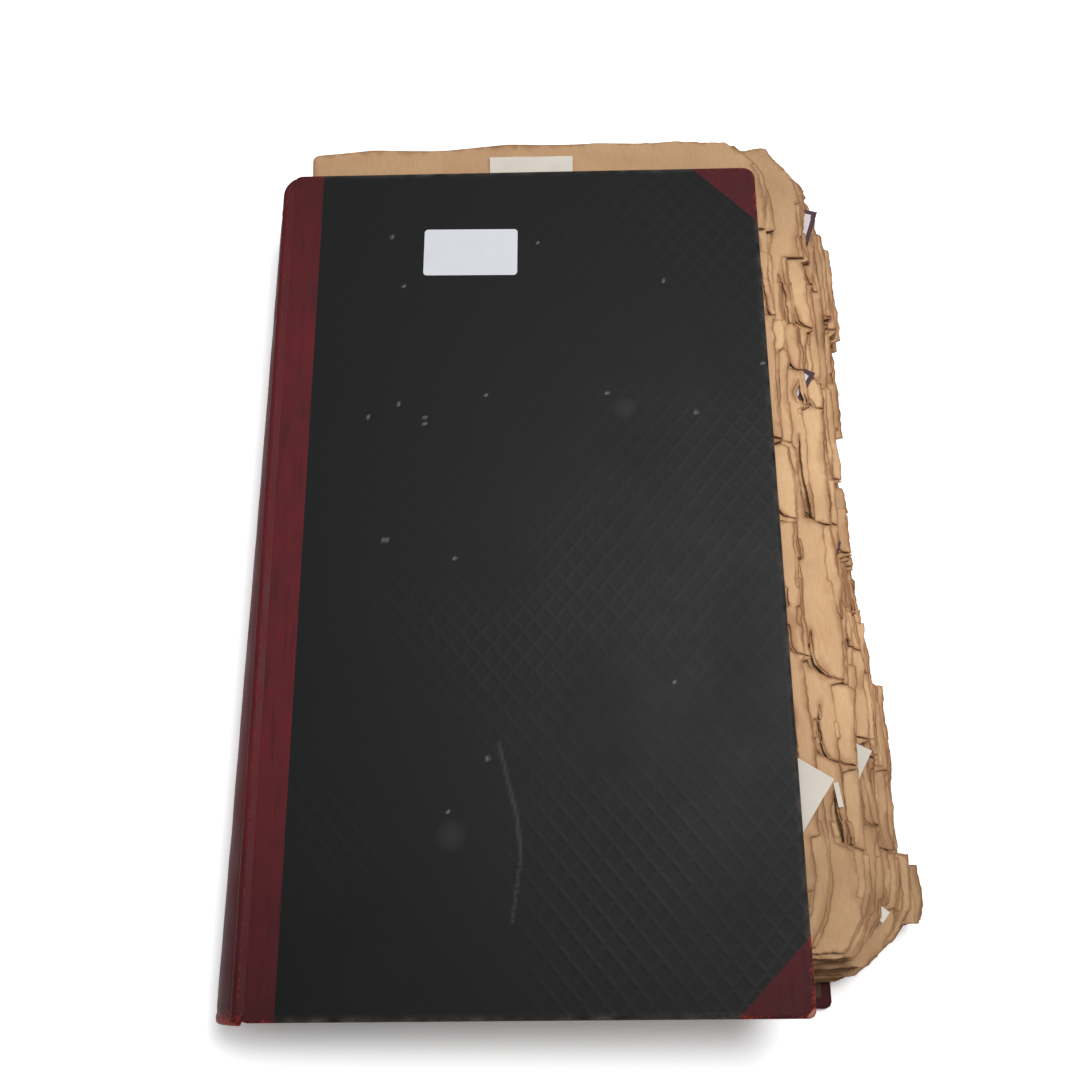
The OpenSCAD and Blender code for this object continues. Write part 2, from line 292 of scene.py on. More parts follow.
def read_map(values, x, y):
    """A map's values at any places, blended between its squares."""
    u = np.clip(np.asarray(x) - map_x - 0.5, 0, map_w - 1.01)
    v = np.clip(np.asarray(y) - map_y - 0.5, 0, map_h - 1.01)
    i, j = u.astype(int), v.astype(int)
    s, t = u - i, v - j
    return ((values[j, i] * (1 - s) + values[j, i + 1] * s) * (1 - t)
            + (values[j + 1, i] * (1 - s) + values[j + 1, i + 1] * s) * t)


def distance_to(outline, points):
    """Each point's distance from an outline, by way of the outline's nearest corner."""
    tree = kdtree.KDTree(len(outline))
    for i, (x, y) in enumerate(outline):
        tree.insert((x, y, 0), i)
    tree.balance()
    nearest = np.array([tree.find((x, y, 0))[1] for x, y in points], int)
    best = np.full(len(points), 99.0)
    for start in (nearest - 1, nearest):
        a, b = outline[start], outline[(start + 1) % len(outline)]
        t = ((points - a) * (b - a)).sum(1) / np.maximum(((b - a) ** 2).sum(1), 1e-9)
        off = points - a - np.clip(t, 0, 1)[:, None] * (b - a)
        best = np.minimum(best, np.linalg.norm(off, axis=1))
    return best


# The stack from the lowest layer up: every sheet of every bundle, and the loose papers between
layers = []
for number in range(1, section_count + 1):
    for which, bundle in enumerate(upper_faces(f"section_{number:02d}")):
        torn_x = max(x for x, _ in bundle["points"]) - torn_zone
        for sheet in range(sheets_per_bundle):
            draw = random.Random(100000 * number + 100 * which + sheet)
            drop = bundle_t * ((sheet + 0.7) / sheets_per_bundle - 1)
            layers.append({
                **bundle, "draw": draw, "section": number, "height": bundle["height"] + drop,
                "level": bundle["level"] + drop,
                "outline": torn(bundle["points"], torn_x, 10 * number + which, draw)})
for node in loose_papers:
    for number, paper in enumerate(upper_faces(node)):
        draw = random.Random(len(node) + number)
        layers.append({
            **paper, "draw": draw, "section": None, "height": paper["height"] - paper_sink,
            "level": paper["level"] - paper_sink,
            "outline": torn(paper["points"], math.inf, 1, draw)})
layers.sort(key=lambda layer: layer["level"])

# From the cover down: how far each layer's squares are from whatever lies on them, and which show
free_reach, shown_reach = 14, 2
cover_edge = hinge_x + cover_w
covered = footprint([(back_x, -cover_h / 2), (cover_edge, -cover_h / 2),
                     (cover_edge, cover_h / 2), (back_x, cover_h / 2)])
section_free = section_open = np.zeros((map_h, map_w), bool)
last_section = None
for layer in reversed(layers):
    layer["free"] = distance_from(covered, free_reach)
    # A loose paper is small, and its border is drawn at its points, so they all lie close together
    near_shown = distance_from(~covered, shown_reach) < shown_reach
    layer["open"] = near_shown | (layer["section"] is None)
    if layer["section"] not in (None, last_section):
        section_free, last_section = layer["free"], layer["section"]
        section_open = layer["open"]
    layer["section_free"], layer["section_open"] = section_free, section_open
    covered = covered | footprint(layer["outline"])


def lattice(step_x, step_y, draw):
    """Unevenly spaced points over the whole map."""
    x, y = np.meshgrid(np.arange(map_x, map_x + map_w, step_x),
                       np.arange(map_y, map_y + map_h, step_y))
    points = np.c_[x.ravel(), y.ravel()]
    jog = np.random.default_rng(draw.randrange(10 ** 6)).uniform(-0.3, 0.3, points.shape)
    return points + jog * (step_x, step_y)


def leaf_mesh(layer, thick, rise):
    """A thin closed sheet. rise(x, y, rim, free) is how far it stands off its own plane.

    Two rows of points follow its edge. Inside them the points lie close together where the sheet
    shows, wider where it only lifts with its section, and far apart where it is flat and hidden.
    With each go two distances: rim from the sheet's own edge, and free from whatever lies on it.
    """
    outline = np.array(layer["outline"])
    span = np.roll(outline, -1, axis=0) - np.roll(outline, 1, axis=0)
    turn = np.roll(outline, -1, axis=0)
    area = (outline[:, 0] * turn[:, 1] - turn[:, 0] * outline[:, 1]).sum()
    inward = np.c_[-span[:, 1], span[:, 0]] * math.copysign(1, area)
    inward /= np.maximum(np.linalg.norm(inward, axis=1), 1e-6)[:, None]
    low, high = outline.min(0), outline.max(0)

    def kept(points, zone, gap):
        """Those in a zone of the map that lie in the sheet's box and off its edge."""
        points = points[((points > low) & (points < high)).all(1)]
        points = points[read_map(zone, *points.T) > 0.5]
        return points[distance_to(outline, points) > gap]

    seen, lifted = layer["open"], layer["section_open"]
    inner = np.concatenate([
        kept(outline + inward * 0.5, seen, 0.38), kept(outline + inward * 1.3, seen, 1),
        kept(lattice(1.3, 1.7, layer["draw"]), seen, 1.7),
        kept(lattice(2, 2, layer["draw"]), lifted & ~seen, 1),
        kept(lattice(14, 14, layer["draw"]), ~(lifted | seen), 2)])
    flat = [Vector(p) for p in [*outline, *inner]]
    verts, _, faces, *_ = delaunay_2d_cdt(flat, [], [list(range(len(outline)))], 1, 1e-5)
    used = sorted({i for f in faces for i in f})
    place = {old: new for new, old in enumerate(used)}
    faces = [[place[i] for i in f] for f in faces]
    edges = {(a, b) for face in faces for a, b in zip(face, face[1:] + face[:1])}
    rim_edges = [e for e in edges if (e[1], e[0]) not in edges]
    spots = np.array([verts[i] for i in used])
    rims = np.minimum(distance_to(outline, spots), 9)
    frees = read_map(layer["free"], *spots.T)
    count = len(used)
    points = []
    for side in (0.5, -0.5):
        for (x, y), rim, free in zip(spots, rims, frees):
            off = layer["height"] + rise(x, y, rim, free) + side * thick
            points.append(layer["across"] * x + Vector((0, y, 0)) + layer["normal"] * off)
    solid = faces + [[i + count for i in reversed(f)] for f in faces]
    solid += [[b, a, a + count, b + count] for a, b in rim_edges]
    return points, solid, [*rims] * 2, [*frees] * 2


def new_piece(name, points, faces, material, place=None):
    """A mesh object from points in millimetres, set in the book by place."""
    mesh = bpy.data.meshes.new(name)
    if place is not None:
        points = [place @ Vector(p) for p in points]
        if place.determinant() < 0:
            faces = [list(reversed(f)) for f in faces]
    mesh.from_pydata([Vector(p) * MM for p in points], [], faces)
    mesh.materials.append(material)
    mesh.shade_smooth()
    mesh.set_sharp_from_angle(angle=math.radians(40))
    made = bpy.data.objects.new(name, mesh)
    bpy.context.scene.collection.objects.link(made)
    return made


def store(made, name, values):
    """Gives each point of a piece a number that its material reads."""
    made.data.attributes.new(name, "FLOAT", "POINT").data.foreach_set("value", values)


def new_material(name):
    """A material, its shader, and the coordinates of the piece that it lies on."""
    made = bpy.data.materials.new(name)
    made.use_nodes = True
    return made, made.node_tree.nodes["Principled BSDF"], add(made, "TexCoord").outputs["Object"]


def scale_of(size):
    """The scale that gives a pattern features of a size in millimetres."""
    return 1 / (size * MM)


# Unglazed brown wrapping paper: long soft fibres, matt. Air has browned it from its torn edges
# inwards. Shade is painted on each leaf next to the edge of the leaf that lies on it. Its stains,
# streaks and fibres have the widths given here. Real fibres are finer, and are drawn as coarse as
# they show.
stain_size, streak_size, fibre_size = 22.2, 5.26, 0.667
kraft, kraft_finish, at = new_material("unglazed_kraft_paper")
tone = add(kraft, "Attribute", attribute_name="tone").outputs["Fac"]
rim = add(kraft, "Attribute", attribute_name="rim").outputs["Fac"]
free = add(kraft, "Attribute", attribute_name="free").outputs["Fac"]
cloud = add(kraft, "TexNoise", {"Vector": at, "Scale": scale_of(stain_size), "Detail": 3})
streak_at = add(kraft, "Mapping", {"Vector": at, "Scale": (1, 0.3, 1)})
streak = add(kraft, "TexNoise", {"Vector": streak_at.outputs[0], "Scale": scale_of(streak_size),
                                 "Detail": 3})
fibre_at = add(kraft, "Mapping", {"Vector": at, "Scale": (1, 0.18, 1)})
fibre = add(kraft, "TexNoise", {"Vector": fibre_at.outputs[0], "Scale": scale_of(fibre_size),
                                "Detail": 2})
body = add(kraft, "Mix", {0: tone, 6: linear("#c8a079"), 7: linear("#d9b388")}, data_type="RGBA")
stain = add(kraft, "MapRange", {0: cloud.outputs[0], 1: 0.45, 2: 0.7, 3: 0, 4: 0.3})
body = add(kraft, "Mix", {0: stain.outputs[0], 6: body.outputs[2], 7: linear("#b0835f")},
           data_type="RGBA")
reach = add(kraft, "MapRange", {0: streak.outputs[0], 1: 0.4, 2: 0.7, 3: 0.5, 4: 4.5})
browned = add(kraft, "Math", {0: rim, 1: reach.outputs[0]}, operation="DIVIDE")
browned = add(kraft, "MapRange", {0: browned.outputs[0], 1: 0, 2: 1, 3: 0.55, 4: 0},
              interpolation_type="SMOOTHSTEP")
body = add(kraft, "Mix", {0: browned.outputs[0], 6: body.outputs[2], 7: linear("#94633f")},
           data_type="RGBA")
# Painted shade: each leaf is darker just past the edge of whatever lies on it
painted_shade_under_edges = add(kraft, "MapRange", {0: free, 1: 0.3, 2: 1.5, 3: 0.28, 4: 0})
body = add(kraft, "Mix", {0: painted_shade_under_edges.outputs[0], 6: body.outputs[2], 7: linear("#7d5233")},
           data_type="RGBA")
patch = add(kraft, "MapRange", {0: streak.outputs[0], 1: 0.4, 2: 0.62, 3: 0.12, 4: 0.85})
torn_line = add(kraft, "MapRange", {0: rim, 1: 0.1, 2: 0.6, 3: patch.outputs[0], 4: 0})
body = add(kraft, "Mix", {0: torn_line.outputs[0], 6: body.outputs[2], 7: linear("#6b4328")},
           data_type="RGBA")
# Both ends of the block have stood open to dust
along = add(kraft, "SeparateXYZ", {0: at}).outputs[1]
tail_dust = add(kraft, "MapRange", {0: along, 1: -120 * MM, 2: -50 * MM, 3: 0.42, 4: 0})
head_dust = add(kraft, "MapRange", {0: along, 1: 110 * MM, 2: 155 * MM, 3: 0, 4: 0.42})
dust = add(kraft, "Math", {0: tail_dust.outputs[0], 1: head_dust.outputs[0]}, operation="ADD")
body = add(kraft, "Mix", {0: dust.outputs[0], 6: body.outputs[2], 7: linear("#85684c")},
           data_type="RGBA")
grain = add(kraft, "MapRange", {0: fibre.outputs[0], 1: 0.3, 2: 0.7, 3: 0.94, 4: 1.05})
body = add(kraft, "Mix", {0: 1, 6: body.outputs[2], 7: grain.outputs[0]}, data_type="RGBA",
           blend_type="MULTIPLY")
bump = add(kraft, "Bump", {"Strength": 0.25, "Distance": 0.1 * MM, "Height": fibre.outputs[0]})
join(kraft, kraft_finish, {"Base Color": body.outputs[2], "Normal": bump.outputs[0],
                           "Roughness": 0.88, "Specular IOR Level": 0.25})

for number in range(1, section_count + 1):
    node = f"section_{number:02d}"
    points, faces, rims, frees, tones = [], [], [], [], []
    for layer in [found for found in layers if found["section"] == number]:
        curl_seed = layer["draw"].uniform(0, 100)
        shade = layer["draw"].uniform(0, 1)

        def rise(x, y, rim, free):
            """A section lifts where nothing lies on it, and each leaf's torn edge curls up."""
            clear = float(read_map(layer["section_free"], x, y))
            swell = max(0, noise.noise(Vector((number * 7, y / 30, x / 60))) + 0.1) * 0.55
            lift = min(most_lift, swell * clear * clear / (clear + 6))
            curl = max(0, noise.noise(Vector((curl_seed, y / 18, x / 40))) - 0.02) * 2
            edge = max(0, curl_width - rim) / curl_width
            slack = min(free, curl_width) / curl_width
            return lift + curl * min(1, free / 3) * (0.3 * slack + edge * edge)

        new_points, new_faces, new_rims, new_frees = leaf_mesh(layer, sheet_t, rise)
        faces += [[i + len(points) for i in f] for f in new_faces]
        points += new_points
        rims += new_rims
        frees += new_frees
        tones += [shade] * len(new_points)
    leaves = new_piece(f"{node}_leaves", points, faces, kraft)
    store(leaves, "rim", rims)
    store(leaves, "free", frees)
    store(leaves, "tone", tones)
    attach(leaves, section_bodies.get(node, "back_cover_and_block"))
    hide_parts(node)


# Boards, spring back and tapes
# Millboard is pressed from waste rope and paper, so it is grey-brown and flecked. The spring back
# is several such boards glued over a round form. Linen tapes cross it and are glued to the boards.
def dress(node, material):
    """Gives a piece of the frame its finish."""
    for material_slot in frame["nodes"][node].material_slots:
        material_slot.material = material


fleck_size = 1.43
millboard, millboard_finish, at = new_material("pressed_millboard")
fleck = add(millboard, "TexNoise", {"Vector": at, "Scale": scale_of(fleck_size), "Detail": 4})
body = add(millboard, "Mix", {0: fleck.outputs[0], 6: linear("#6e604c"), 7: linear("#a09078")},
           data_type="RGBA")
bump = add(millboard, "Bump", {"Strength": 0.4, "Distance": 0.2 * MM, "Height": fleck.outputs[0]})
join(millboard, millboard_finish, {"Base Color": body.outputs[2], "Normal": bump.outputs[0],
                                   "Roughness": 0.9})
for node in ("front_board", "back_board", "spring_back"):
    dress(node, millboard)

thread_gap = 0.6
linen, linen_finish, at = new_material("unbleached_linen_tape")
thread_turns = 2 * math.pi * scale_of(thread_gap)
place = add(linen, "SeparateXYZ", {0: at})
warp = add(linen, "Math", {0: place.outputs[1], 1: thread_turns}, operation="MULTIPLY")
warp = add(linen, "Math", {0: warp.outputs[0]}, operation="SINE")
weft = add(linen, "Math", {0: place.outputs[0], 1: thread_turns}, operation="MULTIPLY")
weft = add(linen, "Math", {0: weft.outputs[0]}, operation="SINE")
weave = add(linen, "Math", {0: warp.outputs[0], 1: weft.outputs[0]}, operation="MULTIPLY")
body = add(linen, "MapRange", {0: weave.outputs[0], 1: -1, 2: 1, 3: 0, 4: 1})
body = add(linen, "Mix", {0: body.outputs[0], 6: linear("#b3a583"), 7: linear("#ddd2b8")},
           data_type="RGBA")
bump = add(linen, "Bump", {"Strength": 0.5, "Distance": 0.1 * MM, "Height": weave.outputs[0]})
join(linen, linen_finish, {"Base Color": body.outputs[2], "Normal": bump.outputs[0],
                           "Roughness": 0.9})
for node in ("spine_tapes", "front_tape_slips", "back_tape_slips"):
    dress(node, linen)


# Endpapers: the spine's lining, the pastedowns and the flyleaves
# Plain paper, pasted to the spring back and to both boards. The flyleaves are left free. All of it
# is foxed, with a dull, unglazed face, and is dark towards its edges.
cloud_size, foxing_size = 45.5, 3.85
endpaper, endpaper_finish, at = new_material("pasted_endpaper")
cloud = add(endpaper, "TexNoise", {"Vector": at, "Scale": scale_of(cloud_size), "Detail": 5})
foxing = add(endpaper, "TexNoise", {"Vector": at, "Scale": scale_of(foxing_size), "Detail": 2})
spots = add(endpaper, "MapRange", {0: foxing.outputs[0], 1: 0.68, 2: 0.78, 3: 0, 4: 0.5})
body = add(endpaper, "Mix", {0: cloud.outputs[0], 6: linear("#b1946a"), 7: linear("#d9c39c")},
           data_type="RGBA")
body = add(endpaper, "Mix", {0: spots.outputs[0], 6: body.outputs[2], 7: linear("#8b5f38")},
           data_type="RGBA")
# The paper is near black in a border along its edges
place = add(endpaper, "SeparateXYZ", {0: at})
off_x = add(endpaper, "Math", {0: place.outputs[0]}, operation="ABSOLUTE")
off_x = add(endpaper, "MapRange", {0: off_x.outputs[0], 1: 70 * MM, 2: 82 * MM, 3: 0, 4: 0.95})
off_y = add(endpaper, "Math", {0: place.outputs[1]}, operation="ABSOLUTE")
off_y = add(endpaper, "MapRange", {0: off_y.outputs[0], 1: 138 * MM, 2: 150 * MM, 3: 0, 4: 0.95})
dark_border = add(endpaper, "Math", {0: off_x.outputs[0], 1: off_y.outputs[0]}, operation="MAXIMUM")
body = add(endpaper, "Mix", {0: dark_border.outputs[0], 6: body.outputs[2], 7: linear("#3a2015")},
           data_type="RGBA")
bump = add(endpaper, "Bump", {"Strength": 0.2, "Distance": 0.2 * MM, "Height": cloud.outputs[0]})
join(endpaper, endpaper_finish, {"Base Color": body.outputs[2], "Normal": bump.outputs[0],
                                 "Roughness": 0.85})
for node in ("spine_lining", "front_pastedown", "back_pastedown", "front_flyleaf",
             "back_flyleaf"):
    dress(node, endpaper)


# Spine leather
# Oxblood sheepskin drawn over the spring back. At the head and tail it is turned over a cord, and
# rubbed there to the rust red of the skin beneath its dye.
spine_y0, spine_y1 = 0.5, 318
lean, spine_rise, centre_in = 18, 38.4, 3
full_tail, full_head = 1.06, 0.6
chord = math.hypot(lean, spine_rise)
mid_chord = Vector((hinge_x + back_x, 0, hinge_z + outer_z)) / 2
up_chord = Vector((-lean, 0, spine_rise)) / chord
off_chord = Vector((-spine_rise, 0, -lean)) / chord
spine_r = math.hypot(chord / 2, centre_in) - 0.35
leather_t, spring_t, lining_t = 0.8, 1.8, 0.3
cap_r = (leather_t + spring_t + lining_t) / 2

patch_size, streak_size, pore_gap, crease_size = 16.7, 2.38, 0.9, 1.11
leather, leather_finish, at = new_material("dyed_sheepskin")
rub = add(leather, "Attribute", attribute_name="rub").outputs["Fac"]
patches = add(leather, "TexNoise", {"Vector": at, "Scale": scale_of(patch_size), "Detail": 4})
streak_at = add(leather, "Mapping", {"Vector": at, "Scale": (1, 0.12, 1)})
streaks = add(leather, "TexNoise", {"Vector": streak_at.outputs[0],
                                    "Scale": scale_of(streak_size), "Detail": 3})
pores = add(leather, "TexVoronoi", {"Vector": at, "Scale": scale_of(pore_gap)})
creases = add(leather, "TexNoise", {"Vector": at, "Scale": scale_of(crease_size), "Detail": 3})
body = add(leather, "Mix", {0: patches.outputs[0], 6: linear("#3f1014"), 7: linear("#651d24")},
           data_type="RGBA")
dark = add(leather, "MapRange", {0: streaks.outputs[0], 1: 0.52, 2: 0.75, 3: 0, 4: 0.5})
body = add(leather, "Mix", {0: dark.outputs[0], 6: body.outputs[2], 7: linear("#2c1315")},
           data_type="RGBA")
# The leather is darker towards both ends of the book, most of all at the tail
along = add(leather, "SeparateXYZ", {0: at}).outputs[1]
tail_darkening = add(leather, "MapRange", {0: along, 1: -168 * MM, 2: -80 * MM, 3: 0.55, 4: 0})
head_darkening = add(leather, "MapRange", {0: along, 1: 90 * MM, 2: 165 * MM, 3: 0, 4: 0.35})
end_darkening = add(leather, "Math", {0: tail_darkening.outputs[0], 1: head_darkening.outputs[0]}, operation="ADD")
body = add(leather, "Mix", {0: end_darkening.outputs[0], 6: body.outputs[2], 7: linear("#200c0e")},
           data_type="RGBA")
chafe = add(leather, "MapRange", {0: creases.outputs[0], 1: 0.35, 2: 0.65, 3: -0.35, 4: 0.35})
chafe = add(leather, "Math", {0: chafe.outputs[0], 1: rub}, operation="ADD")
chafe = add(leather, "MapRange", {0: chafe.outputs[0], 1: 0.36, 2: 1.1, 3: 0, 4: 1})
body = add(leather, "Mix", {0: chafe.outputs[0], 6: body.outputs[2], 7: linear("#8a3022")},
           data_type="RGBA")
bare = add(leather, "MapRange", {0: rub, 1: 1.3, 2: 1.7, 3: 0, 4: 0.8})
body = add(leather, "Mix", {0: bare.outputs[0], 6: body.outputs[2], 7: linear("#9a7262")},
           data_type="RGBA")
relief = add(leather, "Math", {0: pores.outputs[0], 1: creases.outputs[0]}, operation="ADD")
bump = add(leather, "Bump", {"Strength": 0.35, "Distance": 0.12 * MM, "Height": relief.outputs[0]})
shine = add(leather, "MapRange", {0: patches.outputs[0], 1: 0.3, 2: 0.7, 3: 0.5, 4: 0.66})
join(leather, leather_finish, {"Base Color": body.outputs[2], "Roughness": shine.outputs[0],
                               "Normal": bump.outputs[0], "Specular IOR Level": 0.14})


def spine_point(turn, inset, y):
    """A point of the spine: its turn from the front hinge, how far inside the leather, its height.

    The curve is a circle's arc stretched outwards, more at the tail than at the head.
    """
    full = full_tail + (full_head - full_tail) * (y - spine_y0) / (spine_y1 - spine_y0)
    u, v = spine_r * math.cos(turn), full * (spine_r * math.sin(turn) - centre_in)
    normal = Vector((full * math.cos(turn), math.sin(turn))).normalized()
    return (mid_chord + Vector((0, y - cover_h / 2, 0)) + up_chord * (u - inset * normal.x)
            + off_chord * (v - inset * normal.y))


def leather_tube(name, points, ring, rub):
    """A closed piece of leather from rings of points, each with how far it has been rubbed."""
    faces = [[i + j, i + (j + 1) % ring, i + ring + (j + 1) % ring, i + ring + j]
             for i in range(0, len(points) - ring, ring) for j in range(ring)]
    faces += [list(reversed(range(ring))), [len(points) - ring + j for j in range(ring)]]
    made = new_piece(name, points, faces, leather)
    shape = bmesh.new()
    shape.from_mesh(made.data)
    bmesh.ops.recalc_face_normals(shape, faces=shape.faces)
    shape.to_mesh(made.data)
    shape.free()
    store(made, "rub", rub)
    return made


# The leather's section along the book, as (inset, y) pairs, with a rolled cap at each end. The
# rubbing reaches further in from the tail than from the head.
spine_rows, spine_columns, cap_steps, cap_reach = 80, 60, 8, 5
tail_rub, head_rub, most_rub = 5, 2, 1.1
profile = [(0, y) for y in np.linspace(cap_reach, spine_y1 - cap_reach, spine_rows)]
for y_end, turn in ((spine_y1, 1), (spine_y0, -1)):
    arc = [(cap_r - cap_r * math.cos(math.pi * i / cap_steps),
            y_end + turn * cap_r * math.sin(math.pi * i / cap_steps))
           for i in range(cap_steps + 1)]
    groove = [(0.25, y_end - turn * 2.6), (-0.1, y_end - turn * 1)]
    if turn > 0:
        profile += groove + arc + [(leather_t, spine_y1), (leather_t, spine_y0)]
    else:
        profile += arc[::-1] + groove[::-1]
spine_edge = math.asin(centre_in / spine_r) + 0.02
points, rub = [], []
for a in np.linspace(spine_edge, math.pi - spine_edge, spine_columns):
    for inset, y in profile:
        wave = 0.15 * noise.noise(Vector((a * 3, y / 14, 0))) if inset < 0.1 else 0
        points.append(spine_point(a, inset - wave, y))
        from_end = min(y - spine_y0, spine_y1 - y)
        rub_reach = tail_rub if y < cover_h / 2 else head_rub
        rub.append(max(0, most_rub - max(0, from_end + 1) / rub_reach))
spine = leather_tube("spine_leather_with_caps", points, len(profile), rub)
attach(spine, "back_cover_and_block")
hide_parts("spine_leather", "head_cap", "tail_cap")


# Front joint
# The leather is rolled up over a cord along the hinge line, and stands a little proud of the
# cover. Hands have rubbed its top near the tail.
roll_tail, roll_head, roll_around = 0.8, cover_h - 9, 24
half_w, half_h, tail_taper, head_taper, rubbed_to = 1.62, 1.2, 1.5, 5, 14
points, rub = [], []
for y in np.linspace(roll_tail, roll_head, 150):
    # The roll thins out to its two ends
    taper = min(1, (y - roll_tail + 0.1) / tail_taper, (roll_head - y + 0.1) / head_taper)
    size = 0.3 + 0.7 * math.sqrt(taper)
    for i in range(roll_around):
        a = 2 * math.pi * i / roll_around
        wave = 1 + 0.04 * noise.noise(Vector((y / 7, a, 3)))
        x = half_w * size * wave * math.cos(a) + 0.8 * (1 - size)
        z = half_h * size * wave * math.sin(a) - 0.1
        points.append((hinge_x + x, y - cover_h / 2, hinge_z + z))
        rub.append(0.5 * max(0, math.sin(a + 0.2)) ** 6 if y < rubbed_to else 0)
joint_roll = leather_tube("front_joint_roll", points, roll_around, rub)
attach(joint_roll, "back_cover_and_block")
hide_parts("front_joint_leather")
dress("back_joint_leather", leather)

# The covering leather runs from the spine over that roll and onto the board. It is one skin. At
# the head it is trimmed to an arc.
joint_profile = [(-1.95, -0.5), (-2.0, 0), (-1.85, 0.5), (-1.5, 0.92), (-1, 1.2), (-0.4, 1.38),
                 (0.3, 1.45), (0.9, 1.38), (1.4, 1.2), (2, 1.04), (2.8, 0.94), (4.4, 0.84)]
profile_start, profile_end = joint_profile[1][0], joint_profile[-1][0]
arc_x, arc_y, arc_r = 7.8, cover_h - 9.5, 9.8
skin_tail, skin_gap, skin_shift = 0.4, 0.35, 0.3
points, rub = [], []
for y in [*np.linspace(skin_tail, arc_y, 200), *(arc_y + np.linspace(0.4, 7.9, 16))]:
    past = max(0, y - arc_y)
    left = arc_x - math.sqrt(arc_r ** 2 - past ** 2)
    squeeze = (profile_end - left) / (profile_end - profile_start)
    # The skin lies lower at its two ends
    low = min(1, 0.5 + (y - skin_tail) / 1.6, 1 - 0.6 * (past / 8) ** 2)
    for inside in (0, 1):
        for x, z in joint_profile[::-1] if inside else joint_profile:
            wave = 0.05 * noise.noise(Vector((y / 4, x, 3)))
            points.append((hinge_x + left + (x - profile_start + inside * skin_shift) * squeeze,
                           y - cover_h / 2,
                           hinge_z + (z + wave) * low - inside * skin_gap))
            ridge = max(0, 1 - abs(x - 0.3) / 0.7)
            rub.append((1 - inside) * (0.34 * ridge + 0.5 * max(0, 1 - y / 6)))
joint_skin = leather_tube("front_joint_skin", points, 2 * len(joint_profile), rub)
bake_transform(joint_skin)


# Leather and cloth on the covers
# One skin is folded over a board's edges and turned in. Leather strips and corners go on first.
# The cloth side is laid over them, so it stands a little higher.
edge_x, edge_r, skin_t, turn_in = 1.7, 1.0, 0.6, 14
# How far the cloth stands over the leather, how far in from its rim a cover is rubbed, and how
# much of the tail corner is worn through
cloth_proud, rubbed_width, worn_r = 0.12, 2.2, 3.6
strip_tail, strip_head, corner_leg = 13.0, 14.8, 26.5
corner_radii = {(0, 0): 1.5, (1, 0): 2.5, (1, 1): 5, (0, 1): 4}


def board_skin(spacing):
    """The closed skin of a whole board, skin_t thick, in the cover's own frame."""
    low, high = (edge_x + edge_r, edge_r), (cover_w - edge_r, cover_h - edge_r)
    nx, ny = (round((high[i] - low[i]) / spacing) for i in (0, 1))
    x, y = np.meshgrid(np.linspace(low[0], high[0], nx + 1), np.linspace(low[1], high[1], ny + 1))
    normal_x, normal_y = np.zeros_like(x), np.zeros_like(y)
    normal_x[:, 0], normal_x[:, -1], normal_y[0, :], normal_y[-1, :] = -1, 1, -1, 1
    for (right, top), radius in corner_radii.items():
        r = radius - edge_r
        sx, sy = (1 if right else -1), (1 if top else -1)
        cx = (high if right else low)[0] - sx * r
        cy = (high if top else low)[1] - sy * r
        a, b = (x - cx) * sx / r, (y - cy) * sy / r
        zone = (a > 0) & (b > 0)
        x[zone] = (cx + sx * r * a * np.sqrt(np.maximum(0, 1 - b * b / 2)))[zone]
        y[zone] = (cy + sy * r * b * np.sqrt(np.maximum(0, 1 - a * a / 2)))[zone]
        normal_x[zone] = ((x - cx) / r)[zone]
        normal_y[zone] = ((y - cy) / r)[zone]
    loop = ([(0, i) for i in range(nx)] + [(j, nx) for j in range(ny)]
            + [(ny, i) for i in range(nx, 0, -1)] + [(j, 0) for j in range(ny, 0, -1)])
    edge_points = np.array([(x[p], y[p]) for p in loop])
    normals = np.array([(normal_x[p], normal_y[p]) for p in loop])
    normals /= np.linalg.norm(normals, axis=1)[:, None]
    inside = np.clip(edge_points, (edge_x + turn_in, turn_in),
                     (cover_w - turn_in, cover_h - turn_in))

    def rings(thick):
        """Rings round the board's edge, from the outer face to the end of the turn-in."""
        r = edge_r - thick
        quarter = [math.pi / 2 * i / 4 for i in range(5)]
        wall = [(r * math.sin(q), outer_z - thick - r * (1 - math.cos(q))) for q in quarter[1:]]
        wall += [(r, (outer_z + inner_z) / 2)]
        wall += [(r * math.cos(q), inner_z + thick + r * (1 - math.sin(q))) for q in quarter]
        made = [np.c_[edge_points + normals * out, np.full(len(loop), z)] for out, z in wall]
        for share in (0.3, 0.65, 1):
            flat = edge_points + (inside - edge_points) * share
            made.append(np.c_[flat, np.full(len(loop), inner_z + thick)])
        return made

    points = np.c_[x.ravel(), y.ravel(), np.full(x.size, outer_z)].tolist()
    faces = [[j * (nx + 1) + i, j * (nx + 1) + i + 1, (j + 1) * (nx + 1) + i + 1,
              (j + 1) * (nx + 1) + i] for j in range(ny) for i in range(nx)]
    previous = [j * (nx + 1) + i for j, i in loop]
    inner_top = np.c_[edge_points, np.full(len(loop), outer_z - skin_t)]
    for ring_points in rings(0) + rings(skin_t)[::-1] + [inner_top]:
        ring = [len(points) + i for i in range(len(loop))]
        points += ring_points.tolist()
        for i in range(len(loop)):
            k = (i + 1) % len(loop)
            faces.append([previous[k], previous[i], ring[i], ring[k]])
        previous = ring
    faces.append(previous[::-1])
    return points, faces


def cut(shape, at, normal):
    """Keeps the side of a shape that the normal points away from, and closes the cut."""
    bmesh.ops.bisect_plane(shape, geom=shape.verts[:] + shape.edges[:] + shape.faces[:],
                           plane_co=at, plane_no=normal, clear_outer=True)
    open_edges = [e for e in shape.edges if len(e.link_faces) == 1]
    bmesh.ops.holes_fill(shape, edges=open_edges, sides=0)


